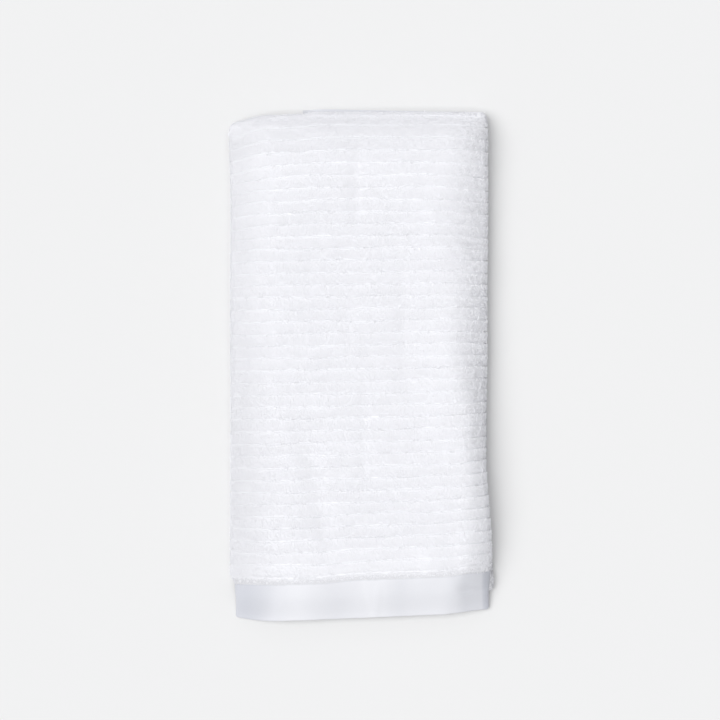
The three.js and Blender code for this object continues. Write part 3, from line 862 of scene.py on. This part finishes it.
def pile(name, patches):
    """Loops of pile on some patches of the face, each a span across and a span along it."""
    places = []
    for (u_from, u_to), (v_from, v_to) in patches:
        rows = cut_ribs(v_from, v_to, LOOP_ROWS)
        across, along = np.meshgrid(np.arange(u_from, u_to, LOOP_STEP), rows)
        across[1::2] += LOOP_STEP / 2
        places.append(np.stack([across.ravel(), along.ravel()]))
    face_u, face_v = np.concatenate(places, axis=1)
    count = len(face_u)
    place = ((face_v - FIRST_GROOVE) / RIB_PITCH) % 1
    face_u = face_u + draw.normal(0, SCATTER_ACROSS, count)
    face_v = face_v + draw.normal(0, SCATTER_ALONG, count)

    foot = face_points(face_u, face_v)
    across = face_points(face_u + SLOPE_STEP, face_v) - foot
    along = face_points(face_u, face_v + SLOPE_STEP) - foot
    up = np.cross(across, along)
    across /= np.linalg.norm(across, axis=1, keepdims=True)
    up /= np.linalg.norm(up, axis=1, keepdims=True)
    along = np.cross(up, across)

    points, faces = loop_shape()
    far = of_far_end(face_v)
    size = draw.uniform(*LOOP_SIZES, count)
    turn = draw.uniform(0, np.pi, count)[:, None]
    lean_across = draw.normal(0, LEAN_ACROSS, count)
    lean_along = draw.normal(0, LEAN_ALONG, count) + (place - CREST) * LEAN_FROM_CREST
    lean_across, lean_along = np.array([lean_across, lean_along]) * (1 - FAR_STRAIGHTER * far)
    x, y, z = points.T[:, None, :] * size[:, None]
    left_flat = rise(left_top + LEFT_FLAT_START, left_top + LEFT_FLAT_WHOLE, face_u)
    flatter = 1 - LEFT_FLATTER * left_flat
    flatter = flatter * (1 - NEAR_FLATTER * rise(*NEAR_FLAT_ALONG, face_v) - FAR_FLATTER * far)
    z = z * (draw.uniform(*LOOP_FLATNESS, count) * flatter)[:, None]
    lifted = np.clip(z, 0, None)
    in_across = x * np.cos(turn) - y * np.sin(turn) + lifted * lean_across[:, None]
    in_along = x * np.sin(turn) + y * np.cos(turn) + lifted * lean_along[:, None]
    at = foot[:, None]
    at = at + in_across[..., None] * across[:, None] + in_along[..., None] * along[:, None]
    at = at + z[..., None] * up[:, None]
    at[..., 2] = np.maximum(at[..., 2], floor_z)

    corners = (faces[None] + len(points) * np.arange(count)[:, None, None]).reshape(-1)
    mesh = bpy.data.meshes.new(name)
    mesh.vertices.add(count * len(points))
    mesh.vertices.foreach_set("co", at.astype(np.float32).ravel())
    mesh.loops.add(len(corners))
    mesh.loops.foreach_set("vertex_index", corners.astype(np.int32))
    mesh.polygons.add(len(corners) // 3)
    mesh.polygons.foreach_set("loop_start", np.arange(0, len(corners), 3, dtype=np.int32))
    mesh.update(calc_edges=True)
    mesh.shade_flat()
    tone = mesh.attributes.new("tone", "FLOAT", "POINT")
    tones = np.repeat(loop_tones(face_u, face_v, place), len(points))
    tone.data.foreach_set("value", tones.astype(np.float32))
    mesh.materials.append(terry)
    made = bpy.data.objects.new(name, mesh)
    bpy.context.scene.collection.objects.link(made)
    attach(made, "root")
    return made


# How far the pile starts before the terry does, goes past the side folds all the way along, and
# goes past the left one where the near fold shows it
PILE_EARLY, PAST_SIDES, PAST_LEFT_FOLD = 0.001, 0.003, 0.075
left_side, right_side = left_fold_start - PAST_SIDES, right_fold_stop + PAST_SIDES
pile_start = TERRY_START - PILE_EARLY
top_length = far_fold_start - pile_start
thirds = pile_start + top_length * np.arange(4) / 3
pile_pieces = [
    pile("pile_top_near", [((left_side, right_side), (thirds[0], thirds[1]))]),
    pile("pile_top_middle", [((left_side, right_side), (thirds[1], thirds[2]))]),
    pile("pile_top_far", [((left_side, right_side), (thirds[2], thirds[3]))]),
    pile("pile_ends", [
        ((left_side, right_side), (far_fold_start, far_fold_stop)),
        ((left_fold_start - PAST_LEFT_FOLD, left_top), (near_fold_start, near_fold_stop)),
        ((right_top, face_width), (near_fold_start, near_fold_stop)),
    ]),
    pile("pile_sides", [
        ((side_from, side_to), span)
        for side_from, side_to in ((left_side, left_top), (right_top, right_side))
        for span in (
            (far_fold_stop, near_fold_start),
            (near_fold_stop, face_length - pile_start),
        )
    ]),
]

# --- The studio ---
# A plain pale floor in an even white room, one wide soft light overhead and another from the
# left, and the camera straight above the towel.
FLOOR_SIZE, FLOOR_GAP = 6.0, 0.0002
bpy.ops.mesh.primitive_plane_add(size=FLOOR_SIZE, location=(0, 0, floor_z - FLOOR_GAP))
floor = bpy.context.object
floor.name = "floor"
paper = bpy.data.materials.new("floor_paper")
paper.use_nodes = True
shader = paper.node_tree.nodes["Principled BSDF"]
shader.inputs["Base Color"].default_value = (0.80, 0.80, 0.80, 1)
shader.inputs["Roughness"].default_value = 1.0
floor.data.materials.append(paper)

world = bpy.data.worlds.new("studio")
bpy.context.scene.world = world
world.use_nodes = True
world.node_tree.nodes["Background"].inputs["Color"].default_value = (0.97, 0.98, 1, 1)
world.node_tree.nodes["Background"].inputs["Strength"].default_value = 0.345

bpy.ops.object.light_add(type="SUN")
key = bpy.context.object
key.data.energy = 0.91
key.data.angle = np.radians(60)
bpy.ops.object.light_add(type="SUN", rotation=(0, np.radians(-30), 0))
side_light = bpy.context.object
side_light.data.energy = 1.74
side_light.data.angle = np.radians(50)

CAMERA_HEIGHT = 1.773
bpy.ops.object.camera_add(location=(-MIDDLE_X, -MIDDLE_Y, CAMERA_HEIGHT), rotation=(0, 0, 0))
camera = bpy.context.object
camera.data.lens = 85
camera.data.sensor_width = 36
bpy.context.scene.camera = camera
bpy.context.scene.view_settings.view_transform = "Standard"
